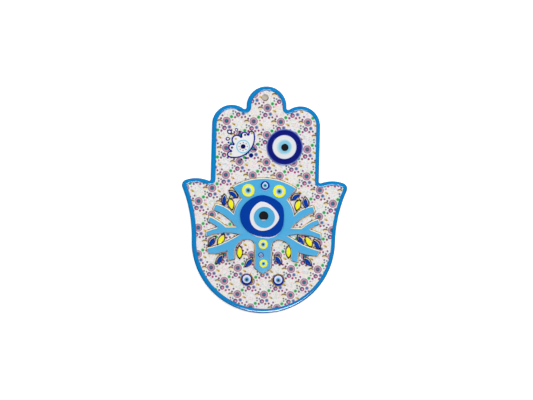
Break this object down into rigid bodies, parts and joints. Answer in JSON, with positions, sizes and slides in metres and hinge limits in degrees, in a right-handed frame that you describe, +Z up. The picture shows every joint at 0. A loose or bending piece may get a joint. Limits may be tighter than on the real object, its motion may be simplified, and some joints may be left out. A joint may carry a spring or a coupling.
{
  "type": "hamsa hand wall ornament",
  "caption": "Flat hand-shaped wall plaque with a rounded blue rim, a printed panel, an eye tree, leaves, beads, an eye disc and a lotus in glued layers, hung by a hole.",
  "frame": {"origin": "centre of the hanging hole at the plaque's flat back face", "axes": "+Z up the hand to the middle finger's tip, -Y out of the decorated front, +X to the right seen from the front"},
  "size_m": [0.1458, 0.01, 0.2002],
  "materials": {
    "blue_lacquered_board": "fibreboard with a thick gloss lacquer, rounded edges",
    "printed_panel": "thin board printed with small flowers and dots, satin",
    "cream_board": "thin laser-cut board, cream face, burnt brown edge",
    "light_blue_paint": "thin laser-cut board, satin light-blue paint",
    "burnt_board": "thin laser-cut board, dark burnt edge",
    "gold_paint": "gold paint",
    "white_lacquer": "gloss enamel",
    "cream_lacquer": "gloss enamel",
    "blue_lacquer": "gloss enamel",
    "navy_lacquer": "gloss enamel",
    "light_blue_lacquer": "gloss enamel",
    "teal_lacquer": "gloss enamel",
    "black_lacquer": "gloss enamel",
    "yellow_lacquer": "gloss enamel",
    "olive_lacquer": "gloss enamel"
  },
  "bodies": {
    "root": {"base_plaque": "blue_lacquered_board", "face_panel": "printed_panel", "tree_underlay": "cream_board", "eye_tree": "light_blue_paint", "main_eye_backing": "white_lacquer", "main_eye_disc": "blue_lacquer", "main_eye_white": "white_lacquer", "main_eye_iris": "light_blue_lacquer", "main_pupil_backing": "cream_lacquer", "main_eye_pupil": "black_lacquer", "crown_bead_left": "yellow_lacquer", "crown_bead_middle": "blue_lacquer", "crown_bead_right": "yellow_lacquer", "trunk_bead_top": "yellow_lacquer", "trunk_bead_middle": "blue_lacquer", "trunk_bead_bottom": "yellow_lacquer", "heel_bead_left": "blue_lacquer", "heel_bead_right": "blue_lacquer", "bead_whites": "white_lacquer", "bead_irises": "teal_lacquer", "bead_pupils": "black_lacquer", "heel_bead_collars": "gold_paint", "leaf_frames": "burnt_board", "nazar_disc": "navy_lacquer", "nazar_white": "white_lacquer", "nazar_iris": "light_blue_lacquer", "nazar_pupil": "black_lacquer", "lotus_backing": "navy_lacquer", "lotus_body": "white_lacquer", "lotus_eye_ring": "light_blue_lacquer", "lotus_eye_pupil": "navy_lacquer", "lotus_ray_dots": "navy_lacquer", "lotus_petal_dots": "olive_lacquer", "lotus_drops": "navy_lacquer", "lotus_studs": "navy_lacquer", "blue_leaf_left_1": "blue_lacquer", "blue_leaf_left_2": "blue_lacquer", "yellow_leaf_left_3": "yellow_lacquer", "yellow_leaf_left_4": "yellow_lacquer", "blue_leaf_left_5": "blue_lacquer", "blue_leaf_left_6": "blue_lacquer", "yellow_leaf_left_7": "yellow_lacquer", "blue_leaf_left_8": "blue_lacquer", "blue_leaf_right_9": "blue_lacquer", "yellow_leaf_right_10": "yellow_lacquer", "blue_leaf_right_11": "blue_lacquer", "blue_leaf_right_12": "blue_lacquer", "yellow_leaf_right_13": "yellow_lacquer", "blue_leaf_right_14": "blue_lacquer", "yellow_leaf_right_15": "yellow_lacquer", "blue_leaf_right_16": "blue_lacquer", "blue_leaf_right_17": "blue_lacquer"}
  },
  "joints": []
}
